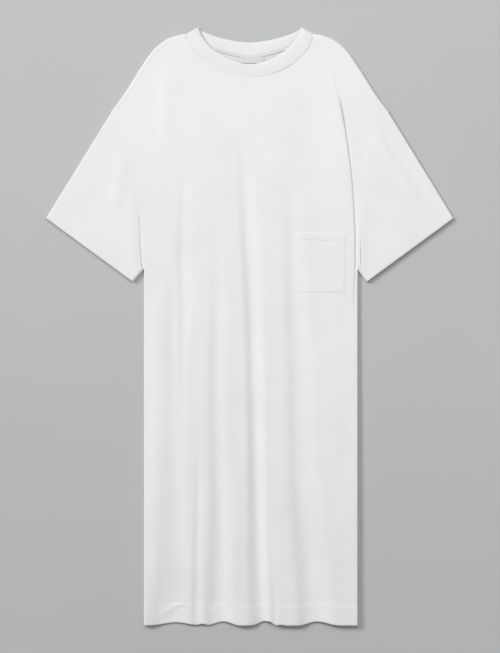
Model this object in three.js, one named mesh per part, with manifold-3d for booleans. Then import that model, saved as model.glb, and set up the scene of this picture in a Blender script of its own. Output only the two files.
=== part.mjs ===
// An oversized T-shirt dress in white cotton jersey, laid out flat on its back with its sleeves
// turned down. The front lies on the back, and soft folds run down the skirt to a wavy hem.
// Millimetres: +X to the wearer's left, +Y towards the neck, +Z up, off the surface it lies on.

import * as THREE from "three";
import { mergeVertices } from "three/addons/utils/BufferGeometryUtils.js";
import Module from "manifold-3d";

const wasm = await Module();
wasm.setup();

// Cloth and seams
const JERSEY = 1.5; // wall of the jersey
const RIB = 2.0; // wall of the folded rib in the neckband
const TURN_UP = 0.5; // what the second layer of a hem adds
const SEAM_GAP = 0.3; // between two pieces that are sewn together
const SLANT_GAP = 0.36; // the same gap measured along X, where a seam runs at a slant
const REST = JERSEY + SEAM_GAP; // height of the front's underside where it lies on the back

// Sizes of the garment
const NECK_TOP_Y = 570; // top of the neckband at its two folds
const HEM_Y = -566; // the hem's mean line on the front
const BACK_HEM_Y = -557; // the back's hem, hidden behind the front's waves
const BODY_HALF = 204; // half of the width across the body
const BODY_SHIFT = 2; // the body lies this far off the sleeves' middle line
const ARMPIT_Y = 110;
const DROP_Y = 408; // where the armhole seam meets the folded shoulder edge
const DROP_X = 265;
const HEM_DEPTH = 34; // turned-up hem at the skirt and at both cuffs
const CUFF_FOLD = { x: 387.5, y: 206.8 }; // corner of the cuff on the sleeve's folded edge
const CUFF_UNDER = { x: 222, y: 85.5 }; // corner of the cuff on the underarm seam
const BAND_ROWS = 2; // cells from the neckband's seam to its free edge
const NECK_STEPS = 28; // cells along each edge of the neckband

// The folded edge of one shoulder, from the neckband's fold to the drop of the shoulder, then the cuff
const SHOULDER_FOLD = [
  [98, 570],
  [121, 557],
  [138, 554],
  [161, 545],
  [184, 526],
  [207, 494],
  [241, 440],
  [DROP_X, DROP_Y],
  [CUFF_FOLD.x, CUFF_FOLD.y],
];
const FOLD_FROM_NECK = 1; // index of the point where the shoulder leaves the neckband
const FOLD_TO_DROP = 7; // index of the point at the drop of the shoulder

// Shoulder seams, seen on the front because the back wraps over: more on the wearer's left
const SHOULDER_SEAM = {
  left: [
    [119.8, 549],
    [134, 536],
    [155, 518],
    [176, 497],
    [205, 461],
    [226, 440],
    [262, DROP_Y],
  ],
  right: [
    [120.4, 549],
    [136, 546],
    [157, 537],
    [179, 519],
    [201, 488],
    [236, 436],
    [262, DROP_Y],
  ],
};

// The armhole seam, as distance from the middle line at each height
const ARMHOLE = [
  [BODY_HALF, ARMPIT_Y],
  [210, 122],
  [213, 240],
  [221, 322],
  [253, 388],
  [DROP_X, DROP_Y],
];

// The four edges of the neckband, each half a superellipse hung between its two ends
const NECKLINES = {
  frontSeam: { half: 121, endY: 556.6, drop: 84, power: 1.8 },
  frontFree: { half: 98, endY: NECK_TOP_Y, drop: 71.5, power: 1.65 },
  backSeam: { half: 121, endY: 556.6, drop: 41.6, power: 1.3 },
  backFree: { half: 98, endY: NECK_TOP_Y, drop: 29, power: 1.5 },
};

// Loft of the front over the back: more towards the hem, where the folds stand
const AIR = 3.2;
const HEM_AIR = 8;
const AIR_FROM = 330; // height at which the loft starts to grow
const AIR_OVER = 800; // length over which it grows
const ROLL = 12; // how far in from a folded edge the cloth takes to reach its loft of 3.2 mm
const PRESSED = 28; // the same along the wearer's right side of the skirt, which is pressed flatter

// The skirt stands in five broad folds, and these are the valleys between them, from the wearer's
// right to the left. A row gives a height, the floor's x there, its depth, and its reach to each side.
const VALLEY_COLUMNS = ["y", "x", "depth", "right", "left"];
const VALLEYS = [
  [
    [110, -146, 0, 18, 20],
    [50, -146, 1.2, 22, 22],
    [-26, -148, 2.2, 24, 22],
    [-179, -146, 1.4, 24, 24],
    [-255, -143, 2.6, 26, 26],
    [-408, -142, 4.2, 30, 34],
    [-566, -150, 3.8, 32, 44],
  ],
  [
    [190, -62, 0, 18, 18],
    [50, -62.6, 1.6, 20, 20],
    [-103, -63, 3.2, 22, 22],
    [-255, -61, 3.9, 22, 25],
    [-408, -57.5, 5.2, 26, 27],
    [-566, -60, 6, 33, 32],
  ],
  [
    [365, -17, 0, 12, 14],
    [240, -10, 2.4, 14, 16],
    [126, -3.2, 4.2, 17, 18],
    [50, 2.5, 4.8, 18, 19],
    [-103, 8, 5.4, 20, 20],
    [-255, 11.7, 5.8, 21, 20],
    [-408, 15.5, 6.6, 27, 20],
    [-484, 18, 7, 30, 20],
    [-566, 24, 7.4, 33, 21],
  ],
  [
    [290, 72, 0, 18, 24],
    [200, 80, 1.6, 22, 28],
    [50, 84.5, 3.2, 26, 32],
    [-103, 93, 3.8, 29, 38],
    [-179, 90, 3.6, 24, 38],
    [-331, 95, 4.2, 27, 46],
    [-408, 105, 5, 31, 46],
    [-566, 118, 6, 33, 46],
  ],
];
// A valley's line is smoothed over these steps in y, each with its weight
const VALLEY_SMOOTHING = [
  [-60, 0.2],
  [0, 0.6],
  [60, 0.2],
];
const HEM_LIFT = 1.1; // how far a valley lifts the hem, for each millimetre of its depth
const HEM_LIFT_MOST = 7.5;
const HEM_LIFT_REACH = 90; // height over the hem at which that lift has died out
const HEM_LOW = 4.2; // how far the hem hangs below its mean line between the valleys

// The long fold where the body overlaps the wearer's left sleeve: its foot as [x, y], and its sizes
const OVERLAP_FOOT = [
  [148, 560],
  [154, 501],
  [168, 447],
  [176.2, 403],
  [184.5, 352],
  [190.5, 304],
  [195, 250],
  [197.5, 182],
  [197.5, 50],
  [198.5, -100],
  [201, -200],
  [204.5, -600],
];
const OVERLAP = { topY: 512, fullY: 340, plainY: -140, height: 2.2, rise: 4, reach: 60 };

// Soft ridges and, where the rise is less than 0, creases: from one point to another, with the
// reach to each side
const RIDGES = [
  { from: [-157, 520], to: [-160, 330], rise: 1.6, right: 26, left: 26 },
  { from: [242, 372], to: [336, 226], rise: 2.2, right: 30, left: 14 },
  { from: [258, 378], to: [352, 234], rise: -1.3, right: 5, left: 6 },
  { from: [-240, 330], to: [-262, 214], rise: 1.2, right: 18, left: 24 },
];

// Pocket on the wearer's left chest, and the plain label inside the neck
const POCKET = { left: 88.6, right: 182, top: 177, bottom: 63, hem: 163 };
const LABEL = { half: 21, top: 513.6, bottom: 502, thick: 1 };

// Heights of the rows of points across the front, from the hem up
const BODY_ROWS = [-566, -549, -533, -530, -480, -420, -350, -280, -210, -140, -70, -10, 30];
const POCKET_ROWS = [POCKET.bottom, 90, ARMPIT_Y, 118, 140, POCKET.hem, POCKET.top];
const CHEST_ROWS = [210, 245, 280, 315, 345, 370, 388, 400, 405, DROP_Y];
const YOKE_ROWS = [422, 440, 460, 480, 500, 516, 530, 541, 549];
const ROWS = [...BODY_ROWS, ...POCKET_ROWS, ...CHEST_ROWS, ...YOKE_ROWS];
// Cells between one guide line of the front and the next, from the wearer's right to the left
const CELLS = [4, 4, 4, 1, 4, 4, 1, 4, 4, 2, 4, 3, 7, 2, 2, 4];
const POCKET_GUIDE = 12; // the guide line along the side of the pocket nearer the middle
const LEAST_CELL = 1.2;

const lerp = THREE.MathUtils.lerp;
const clamp = THREE.MathUtils.clamp;
const ease = (t) => THREE.MathUtils.smoothstep(t, 0, 1);

// x as a smooth function of y along a short list of [x, y] points that rise in y
function acrossAt(points) {
  const rising = points[0][1] < points.at(-1)[1] ? points : [...points].reverse();
  const curve = new THREE.SplineCurve(rising.map(([x, y]) => new THREE.Vector2(x, y)));
  const fine = curve.getPoints(rising.length * 24);
  return (y) => {
    const above = clamp(
      fine.findIndex((p) => p.y >= y),
      1,
      fine.length - 1,
    );
    const [a, b] = [fine[above - 1], fine[above]];
    return lerp(a.x, b.x, clamp((y - a.y) / (b.y - a.y), 0, 1));
  };
}

const armholeAt = acrossAt(ARMHOLE);
const leftSeamAt = acrossAt(SHOULDER_SEAM.left);
const rightSeamAt = acrossAt(SHOULDER_SEAM.right);
const footAt = acrossAt(OVERLAP_FOOT);

// side is 1 on the wearer's left (+X) and -1 on the wearer's right
const sideOfBody = (side) => BODY_SHIFT + side * BODY_HALF;

function armholeX(side, y) {
  const shift = BODY_SHIFT * (1 - ease((y - ARMPIT_Y) / 60));
  return side * armholeAt(y) + shift;
}

// The front's edge on one side at height y: side seam, armhole seam, then shoulder seam
function frontEdge(side, y) {
  if (y <= ARMPIT_Y) return sideOfBody(side);
  if (y < DROP_Y) return armholeX(side, y);
  return side * ((side > 0 ? leftSeamAt(y) : rightSeamAt(y)) - SLANT_GAP);
}

// The edges where the cloth turns over from front to back
const foldedEdges = [1, -1].flatMap((side) => {
  const shoulder = SHOULDER_FOLD.map(([x, y]) => new THREE.Vector2(side * x, y));
  const under = [
    new THREE.Vector2(side * CUFF_UNDER.x, CUFF_UNDER.y),
    new THREE.Vector2(sideOfBody(side), ARMPIT_Y),
    new THREE.Vector2(sideOfBody(side), 2 * HEM_Y),
  ];
  return [shoulder, under];
});

function distanceToFold(x, y) {
  const here = new THREE.Vector2(x, y);
  let least = Infinity;
  for (const path of foldedEdges) {
    for (let i = 1; i < path.length; i++) {
      const along = path[i].clone().sub(path[i - 1]);
      const t = clamp(here.clone().sub(path[i - 1]).dot(along) / along.lengthSq(), 0, 1);
      least = Math.min(least, here.distanceTo(path[i - 1].clone().addScaledVector(along, t)));
    }
  }
  return least;
}

// A rounded bump: 1 on its line, falling to 0 at its reach towards the wearer's right and left
function bump(offset, right, left) {
  const t = Math.min(Math.abs(offset) / (offset < 0 ? right : left), 1);
  return (1 + Math.cos(Math.PI * t)) / 2;
}

const valleyTables = VALLEYS.map((rows) =>
  rows.map((row) => Object.fromEntries(VALLEY_COLUMNS.map((name, i) => [name, row[i]]))),
);

// One column of a valley's table at height y, where the rows fall in y
function tableAt(rows, column, y) {
  const below = clamp(
    rows.findIndex((row) => row.y <= y),
    rows.at(-1).y > y ? rows.length - 1 : 1,
    rows.length - 1,
  );
  const [a, b] = [rows[below - 1], rows[below]];
  return lerp(a[column], b[column], clamp((a.y - y) / (a.y - b.y), 0, 1));
}

// A valley's floor, depth and reaches at height y
function valleyAt(rows, y) {
  const smooth = (column) =>
    VALLEY_SMOOTHING.reduce((sum, [step, weight]) => sum + weight * tableAt(rows, column, y + step), 0);
  const [, ...columns] = VALLEY_COLUMNS;
  return Object.fromEntries(columns.map((column) => [column, smooth(column)]));
}

function valleyDepth(x, y) {
  return valleyTables.reduce((sum, rows) => {
    const valley = valleyAt(rows, y);
    return sum + valley.depth * bump(x - valley.x, valley.right, valley.left);
  }, 0);
}

// How high the body stands beside its overlap fold
function overlapHeight(x, y) {
  const grown = ease((OVERLAP.topY - y) / (OVERLAP.topY - OVERLAP.fullY));
  const kept = ease((y - OVERLAP.plainY) / (ARMPIT_Y - OVERLAP.plainY));
  const inside = footAt(y) - x;
  const rise = ease(inside / OVERLAP.rise);
  const fall = 1 - ease((inside - OVERLAP.rise) / OVERLAP.reach);
  return OVERLAP.height * grown * kept * rise * fall;
}

function ridgeHeight(ridge, x, y) {
  const from = new THREE.Vector2(...ridge.from);
  const along = new THREE.Vector2(...ridge.to).sub(from);
  const off = new THREE.Vector2(x, y).sub(from);
  const t = off.dot(along) / along.lengthSq();
  const aside = along.cross(off) / along.length(); // more than 0 on the +X side of a falling crest
  const fade = ease(clamp(t, 0, 1) / 0.25) * ease((1 - clamp(t, 0, 1)) / 0.25);
  return ridge.rise * fade * bump(aside, ridge.right, ridge.left);
}

// Height of the underside of the cloth on top, at any place on the garment
function underside(x, y) {
  const air = lerp(AIR, HEM_AIR, ease((AIR_FROM - y) / AIR_OVER));
  const inFromFold = distanceToFold(x, y);
  const inward = Math.min(inFromFold / (ROLL + air - AIR), 1);
  const rounded = Math.sqrt(1 - (1 - inward) ** 2);
  const pressed = 0.8 * ease((ARMPIT_Y - y) / 120) * ease(-x / 60);
  const loft = air * lerp(rounded, ease(inFromFold / PRESSED), pressed);
  const ridges = RIDGES.reduce((sum, ridge) => sum + ridgeHeight(ridge, x, y), 0);
  const rise = loft + (ridges - valleyDepth(x, y)) * inward;
  return REST + Math.max(rise, 0) + overlapHeight(x, y);
}

// Thickness measured upwards, so that the wall keeps its thickness where the cloth is steep
function wallAt(x, y, thick) {
  const step = 1;
  const slopeX = (underside(x + step, y) - underside(x - step, y)) / (2 * step);
  const slopeY = (underside(x, y + step) - underside(x, y - step)) / (2 * step);
  return thick * Math.min(Math.hypot(1, slopeX, slopeY), 2.4);
}

// The hem follows the folds: lifted at each valley, low between them
function hemShift(x, y) {
  const near = ease(1 - (y - HEM_Y) / HEM_LIFT_REACH);
  return near * (Math.min(valleyDepth(x, HEM_Y) * HEM_LIFT, HEM_LIFT_MOST) - HEM_LOW);
}

// Faces are turned round if they point inwards
function facingOut(geometry) {
  const p = geometry.getAttribute("position");
  const index = geometry.index.array;
  const [a, b, c] = [new THREE.Vector3(), new THREE.Vector3(), new THREE.Vector3()];
  let volume = 0;
  for (let i = 0; i < index.length; i += 3) {
    a.fromBufferAttribute(p, index[i]);
    b.fromBufferAttribute(p, index[i + 1]);
    c.fromBufferAttribute(p, index[i + 2]);
    volume += a.dot(b.cross(c));
  }
  if (volume < 0) {
    for (let i = 0; i < index.length; i += 3) {
      [index[i + 1], index[i + 2]] = [index[i + 2], index[i + 1]];
    }
  }
  return geometry;
}

function indexed(points, faces) {
  const geometry = new THREE.BufferGeometry().setFromPoints(points);
  geometry.setIndex(faces);
  return facingOut(geometry);
}

// A closed wall between a grid of low points and a grid of high points, both [row][column]
function wall(low, high) {
  const [rows, columns] = [low.length, low[0].length];
  const points = [...low.flat(), ...high.flat()];
  const at = (layer, r, c) => layer * rows * columns + r * columns + c;
  const faces = [];
  const quad = (a, b, c, d) => faces.push(a, b, c, a, c, d);
  for (let r = 0; r < rows - 1; r++) {
    for (let c = 0; c < columns - 1; c++) {
      quad(at(0, r, c), at(0, r + 1, c), at(0, r + 1, c + 1), at(0, r, c + 1));
      quad(at(1, r, c), at(1, r, c + 1), at(1, r + 1, c + 1), at(1, r + 1, c));
    }
  }
  const last = { r: rows - 1, c: columns - 1 };
  for (let c = 0; c < last.c; c++) {
    quad(at(0, 0, c), at(0, 0, c + 1), at(1, 0, c + 1), at(1, 0, c));
    quad(at(0, last.r, c + 1), at(0, last.r, c), at(1, last.r, c), at(1, last.r, c + 1));
  }
  for (let r = 0; r < last.r; r++) {
    quad(at(0, r + 1, 0), at(0, r, 0), at(1, r, 0), at(1, r + 1, 0));
    quad(at(0, r, last.c), at(0, r + 1, last.c), at(1, r + 1, last.c), at(1, r, last.c));
  }
  return indexed(points, faces);
}

// A tube wall through sections, each with an outer and an inner loop of the same number of points
function tube(sections) {
  const count = sections[0].outer.length;
  const points = sections.flatMap((s) => [...s.outer, ...s.inner]);
  const at = (s, layer, k) => (2 * s + layer) * count + (k % count);
  const faces = [];
  const quad = (a, b, c, d) => faces.push(a, b, c, a, c, d);
  const end = sections.length - 1;
  for (let k = 0; k < count; k++) {
    for (let s = 0; s < end; s++) {
      quad(at(s, 0, k), at(s, 0, k + 1), at(s + 1, 0, k + 1), at(s + 1, 0, k));
      quad(at(s, 1, k), at(s + 1, 1, k), at(s + 1, 1, k + 1), at(s, 1, k + 1));
    }
    quad(at(0, 0, k), at(0, 1, k), at(0, 1, k + 1), at(0, 0, k + 1));
    quad(at(end, 0, k), at(end, 0, k + 1), at(end, 1, k + 1), at(end, 1, k));
  }
  return indexed(points, faces);
}

// A solid for cutting and joining, from a closed geometry
function solid(geometry) {
  const bare = geometry.clone();
  bare.deleteAttribute("normal");
  bare.deleteAttribute("uv");
  const merged = mergeVertices(bare, 1e-4);
  return new wasm.Manifold(
    new wasm.Mesh({
      numProp: 3,
      vertProperties: new Float32Array(merged.getAttribute("position").array),
      triVerts: new Uint32Array(merged.index.array),
    }),
  );
}

function geometryOf(manifold) {
  const mesh = manifold.getMesh();
  const geometry = new THREE.BufferGeometry();
  geometry.setAttribute("position", new THREE.BufferAttribute(mesh.vertProperties, mesh.numProp));
  geometry.setIndex(new THREE.BufferAttribute(mesh.triVerts, 1));
  return geometry;
}

// A flat plate or prism with a given outline, from z low to z high
function prism(outline, low, high) {
  const shape = new THREE.Shape(outline);
  const geometry = new THREE.ExtrudeGeometry(shape, { depth: high - low, bevelEnabled: false });
  geometry.translate(0, 0, low);
  return geometry;
}

// Evenly spaced points along one edge of the neckband, from the wearer's right to the left,
// grown outwards by a gap for the piece that is sewn to it
function neckline({ half, endY, drop, power }, grow = 0) {
  const dense = Array.from({ length: 721 }, (_, i) => {
    const angle = Math.PI * (1 - i / 720);
    const across = Math.abs(Math.cos(angle)) ** (2 / power) * Math.sign(Math.cos(angle));
    return new THREE.Vector3(half * across, endY - drop * Math.sin(angle) ** (2 / power), 0);
  });
  const curve = new THREE.CurvePath();
  for (let i = 1; i < dense.length; i++) curve.add(new THREE.LineCurve3(dense[i - 1], dense[i]));
  const points = curve.getSpacedPoints(NECK_STEPS);
  return points.map((p, i) => {
    const next = points[Math.min(i + 1, NECK_STEPS)];
    const before = points[Math.max(i - 1, 0)];
    const tangent = next.clone().sub(before).normalize();
    return new THREE.Vector2(p.x + tangent.y * grow, p.y - tangent.x * grow);
  });
}

// Guide lines that the front's columns of points follow at height y: both edges, each valley's two
// sides and floor, the pocket's sides and the overlap fold
function guidesAt(y) {
  const [right, left] = [frontEdge(-1, y), frontEdge(1, y)];
  const valleyLines = valleyTables.flatMap((rows) => {
    const valley = valleyAt(rows, y);
    return [valley.x - valley.right, valley.x, valley.x + valley.left];
  });
  // The last valley's line turns to the pocket's side
  const underPocket = clamp((POCKET.bottom - y) / (POCKET.bottom - HEM_Y), 0, 1);
  valleyLines.push(lerp(POCKET.left, valleyLines.pop(), underPocket));
  const foot = footAt(y);
  const lines = [
    right,
    ...valleyLines,
    Math.min(POCKET.right, foot - 14),
    foot - OVERLAP.rise,
    foot,
    left,
  ];
  let cellsBefore = 0;
  const cellsInAll = CELLS.reduce((sum, n) => sum + n, 0);
  return lines.map((x, i) => {
    if (i > 0) cellsBefore += CELLS[i - 1];
    const low = right + cellsBefore * LEAST_CELL;
    const high = left - (cellsInAll - cellsBefore) * LEAST_CELL;
    return clamp(x, Math.min(low, high), Math.max(low, high));
  });
}

// Places across the front at height y, closer together beside a folded edge
function columnsAt(y) {
  const guides = guidesAt(y);
  const places = [guides[0]];
  CELLS.forEach((cells, i) => {
    for (let k = 1; k <= cells; k++) {
      let t = k / cells;
      if (i === 0) t = t ** 1.8;
      if (i === CELLS.length - 1) t = 1 - (1 - t) ** 1.3;
      places.push(lerp(guides[i], guides[i + 1], t));
    }
  });
  return places;
}

function frontGrid() {
  const low = [];
  const high = [];
  for (const row of ROWS) {
    const columns = columnsAt(row);
    const turned = row - HEM_Y < HEM_DEPTH ? TURN_UP : 0;
    low.push(columns.map((x) => new THREE.Vector3(x, row + hemShift(x, row), underside(x, row))));
    high.push(
      columns.map((x) => {
        const z = underside(x, row) + wallAt(x, row, JERSEY + turned);
        return new THREE.Vector3(x, row + hemShift(x, row), z);
      }),
    );
  }
  return { low, high };
}

function frontBody(grid) {
  const opening = neckline(NECKLINES.frontSeam, SEAM_GAP);
  const outline = [
    ...opening,
    new THREE.Vector2(opening.at(-1).x, 700),
    new THREE.Vector2(opening[0].x, 700),
  ];
  const neck = solid(prism(outline, -20, 60));
  return geometryOf(solid(wall(grid.low, grid.high)).subtract(neck));
}

// Points on the folded shoulder edge of one side, from the neckband to the drop of the shoulder
function shoulderEdge(side, count) {
  const stretch = SHOULDER_FOLD.slice(FOLD_FROM_NECK, FOLD_TO_DROP + 1);
  const curve = new THREE.SplineCurve(stretch.map(([x, y]) => new THREE.Vector2(x, y)));
  const points = curve.getSpacedPoints(count - 1);
  points[0].x += 0.9;
  points[0].y -= 0.3;
  points[count - 1].x -= 0.2;
  points[count - 1].y += SEAM_GAP;
  return points.map((p) => new THREE.Vector2(side * p.x, p.y));
}

const STRIP_ROWS = [DROP_Y, ...YOKE_ROWS].reverse();

// The strip of the back that wraps over one shoulder to the shoulder seam on the front
function shoulderStrip(side) {
  const edge = shoulderEdge(side, STRIP_ROWS.length);
  const inset = 1.5;
  const steps = [0.3, 0.65, 1];
  const loops = STRIP_ROWS.map((y, k) => {
    const seam = new THREE.Vector2(side * (side > 0 ? leftSeamAt(y) : rightSeamAt(y)), y);
    const rim = edge[k];
    const across = seam.clone().sub(rim);
    const place = (t) => rim.clone().addScaledVector(across, t);
    const innerT = Math.min(inset / across.length(), 0.25);
    const over = (p) => underside(p.x, p.y) + wallAt(p.x, p.y, JERSEY);
    const at = (p, z) => new THREE.Vector3(p.x, p.y, z);
    const top = steps.map((t) => at(place(t), over(place(t))));
    const below = steps.map((t) => at(place(t), underside(place(t).x, place(t).y))).reverse();
    return [
      at(rim, JERSEY / 2),
      at(rim, over(rim)),
      ...top,
      ...below,
      at(place(innerT), underside(place(innerT).x, place(innerT).y)),
      at(place(innerT), JERSEY / 2),
    ];
  });
  const count = loops[0].length;
  const faces = [];
  for (let s = 0; s < loops.length - 1; s++) {
    for (let k = 0; k < count; k++) {
      const n = (k + 1) % count;
      const [a, b] = [s * count + k, s * count + n];
      const [c, d] = [(s + 1) * count + n, (s + 1) * count + k];
      faces.push(a, b, c, a, c, d);
    }
  }
  // The end caps pair each point of the way out with one of the way back
  for (const s of [0, loops.length - 1]) {
    for (let k = 0; k < count / 2 - 1; k++) {
      const [a, b, c, d] = [k, k + 1, count - 2 - k, count - 1 - k].map((i) => s * count + i);
      if (s === 0) faces.push(a, c, b, a, d, c);
      else faces.push(a, b, c, a, c, d);
    }
  }
  return indexed(loops.flat(), faces);
}

function backBody() {
  const armholeRows = ROWS.filter((y) => y > ARMPIT_Y && y < DROP_Y);
  const sides = (side) => [
    ...shoulderEdge(side, STRIP_ROWS.length),
    ...armholeRows.toReversed().map((y) => new THREE.Vector2(armholeX(side, y), y)),
    new THREE.Vector2(sideOfBody(side), ARMPIT_Y),
    new THREE.Vector2(sideOfBody(side), BACK_HEM_Y),
  ];
  const neck = neckline(NECKLINES.backSeam, SEAM_GAP).slice(1, -1);
  const outline = [...neck, ...sides(1), ...sides(-1).reverse()];
  const plate = solid(prism(outline, 0, JERSEY));
  const strips = [1, -1].map((side) => solid(shoulderStrip(side)));
  return geometryOf(plate.add(strips[0]).add(strips[1]));
}

// A sleeve: a flattened tube from the armhole seam to the cuff, folded along its upper edge
function sleeve(side) {
  const rows = ROWS.filter((y) => y >= ARMPIT_Y && y <= DROP_Y).toReversed();
  const armhole = rows.map((y) => {
    const x = y === DROP_Y ? side * DROP_X : armholeX(side, y);
    return new THREE.Vector2(x + side * SLANT_GAP, y);
  });
  armhole[armhole.length - 1].x += side * SEAM_GAP;
  const along = armhole.map((p, i) => (i ? p.distanceTo(armhole[i - 1]) : 0));
  const whole = along.reduce((sum, d) => sum + d, 0);
  let walked = 0;
  const cuff = along.map((d) => {
    walked += d;
    const x = lerp(CUFF_FOLD.x, CUFF_UNDER.x, walked / whole);
    return new THREE.Vector2(side * x, lerp(CUFF_FOLD.y, CUFF_UNDER.y, walked / whole));
  });
  const steps = [0, 0.18, 0.38, 0.58, 0.78, 1];
  const end = armhole.length - 1;
  const section = (k, beyondHem) => {
    // beyondHem: 0 at the cuff, 1 at the hem's stitching, 2 just past it, then on to the armhole
    const plan = armhole.map((p, i) => {
      const length = p.distanceTo(cuff[i]);
      const depth = Math.min(HEM_DEPTH / length, 0.86);
      const past = Math.min((HEM_DEPTH + 3) / length, 0.92);
      const share = [0, depth, past][beyondHem] ?? 1;
      const t = beyondHem < 2 ? share : lerp(past, 1, steps[k]);
      return cuff[i].clone().lerp(p, t);
    });
    const into = plan[1].clone().sub(plan[0]).normalize();
    const outOf = plan[end - 1].clone().sub(plan[end]).normalize();
    const inset = plan.map((p, i) => {
      if (i === 0) return p.clone().addScaledVector(into, JERSEY);
      if (i === end) return p.clone().addScaledVector(outOf, JERSEY);
      return p;
    });
    const turned = beyondHem < 2 ? TURN_UP : 0;
    const over = (p) => underside(p.x, p.y) + wallAt(p.x, p.y, JERSEY + turned);
    const at = (p, z) => new THREE.Vector3(p.x, p.y, z);
    return {
      outer: [...plan.map((p) => at(p, over(p))), ...plan.toReversed().map((p) => at(p, 0))],
      inner: [
        ...inset.map((p) => at(p, underside(p.x, p.y))),
        ...inset.toReversed().map((p) => at(p, JERSEY)),
      ],
    };
  };
  return tube([section(0, 0), section(0, 1), ...steps.map((_, k) => section(k, 2))]);
}

// The neckband: a flattened ring of rib, its front half on the front and its back half on the back
function neckband() {
  const edges = Object.fromEntries(
    Object.entries(NECKLINES).map(([name, sizes]) => [name, neckline(sizes)]),
  );
  const sections = [];
  for (let k = 0; k <= BAND_ROWS; k++) {
    const t = k / BAND_ROWS;
    const front = edges.frontSeam.map((p, i) => p.clone().lerp(edges.frontFree[i], t));
    const back = edges.backSeam.map((p, i) => p.clone().lerp(edges.backFree[i], t));
    const inset = (points) =>
      points.map((p, i) => {
        if (i > 0 && i < NECK_STEPS) return p;
        const next = points[i === 0 ? 1 : NECK_STEPS - 1];
        return p.clone().add(next.clone().sub(p).setLength(RIB));
      });
    const lift = RIB - JERSEY;
    const under = (p) => underside(p.x, p.y) + lift;
    const over = (p) => under(p) + wallAt(p.x, p.y, RIB);
    const at = (p, z) => new THREE.Vector3(p.x, p.y, z);
    sections.push({
      outer: [
        ...front.map((p) => at(p, over(p))),
        ...back.toReversed().map((p) => at(p, 0)),
      ],
      inner: [
        ...inset(front).map((p) => at(p, under(p))),
        ...inset(back)
          .toReversed()
          .map((p) => at(p, RIB)),
      ],
    });
  }
  return tube(sections);
}

// The patch pocket is made from the front's own points, moved out
function pocket(grid) {
  const first = CELLS.slice(0, POCKET_GUIDE).reduce((sum, n) => sum + n, 0);
  const last = first + CELLS[POCKET_GUIDE];
  const rows = ROWS.map((y, r) => ({ y, r })).filter(
    ({ y }) => y >= POCKET.bottom && y <= POCKET.top,
  );
  const raise = (r, by) =>
    grid.high[r].slice(first, last + 1).map((p) => new THREE.Vector3(p.x, p.y, p.z + by));
  const low = rows.map(({ r }) => raise(r, SEAM_GAP));
  const high = rows.map(({ y, r }) =>
    raise(r, SEAM_GAP + JERSEY + (y >= POCKET.hem ? TURN_UP : 0)),
  );
  return wall(low, high);
}

function neckLabel() {
  const outline = [
    new THREE.Vector2(-LABEL.half, LABEL.bottom),
    new THREE.Vector2(LABEL.half, LABEL.bottom),
    new THREE.Vector2(LABEL.half, LABEL.top),
    new THREE.Vector2(-LABEL.half, LABEL.top),
  ];
  return prism(outline, REST, REST + LABEL.thick);
}

const jerseyWhite = new THREE.MeshStandardMaterial({ color: 0xf0f0ef, roughness: 0.92 });
const ribWhite = new THREE.MeshStandardMaterial({ color: 0xf1f1f0, roughness: 0.9 });
const labelWhite = new THREE.MeshStandardMaterial({ color: 0xe4e4e3, roughness: 0.6 });

const dress = new THREE.Group();

function add(name, geometry, material) {
  geometry.computeVertexNormals();
  const mesh = new THREE.Mesh(geometry, material.clone());
  mesh.name = name;
  dress.add(mesh);
}

const grid = frontGrid();
add("back_body", backBody(), jerseyWhite);
add("front_body", frontBody(grid), jerseyWhite);
add("sleeve_left", sleeve(1), jerseyWhite);
add("sleeve_right", sleeve(-1), jerseyWhite);
add("neckband", neckband(), ribWhite);
add("chest_pocket", pocket(grid), jerseyWhite);
add("neck_label", neckLabel(), labelWhite);

export default dress;
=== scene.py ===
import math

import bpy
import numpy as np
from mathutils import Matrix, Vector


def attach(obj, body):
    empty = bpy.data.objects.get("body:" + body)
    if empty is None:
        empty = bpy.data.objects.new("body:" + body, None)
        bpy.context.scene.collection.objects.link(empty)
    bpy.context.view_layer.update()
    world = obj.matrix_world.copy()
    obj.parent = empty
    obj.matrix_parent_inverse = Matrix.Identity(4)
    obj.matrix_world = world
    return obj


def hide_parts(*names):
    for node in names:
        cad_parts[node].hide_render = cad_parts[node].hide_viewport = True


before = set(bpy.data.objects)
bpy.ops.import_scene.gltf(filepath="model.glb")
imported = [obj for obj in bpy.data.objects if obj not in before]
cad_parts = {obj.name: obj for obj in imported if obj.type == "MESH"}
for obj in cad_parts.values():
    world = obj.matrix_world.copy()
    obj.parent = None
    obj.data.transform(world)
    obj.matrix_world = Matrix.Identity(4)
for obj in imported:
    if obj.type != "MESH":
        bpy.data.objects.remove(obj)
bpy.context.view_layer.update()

# An oversized T-shirt dress in white cotton jersey, laid flat on its back with its sleeves turned
# down. Shapes are worked out in millimetres, +X to the wearer's left and +Y towards the neck, and
# turned into metres where a mesh is made. A side is 1 for the wearer's left and -1 for the right.

MM = 0.001
WALL = 1.2  # of a layer of jersey
THIN_WALL = 0.8  # of the pocket
JERSEY = 1.5  # height of the front's outer face over its underside
REST = 1.8  # height of the front's underside where it lies on the back
UNDERSIDE = 0.05  # height of the lowest faces over the surface
SIDE_SEAM = 1.7  # height of the middle of a sleeve's edge

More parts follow.
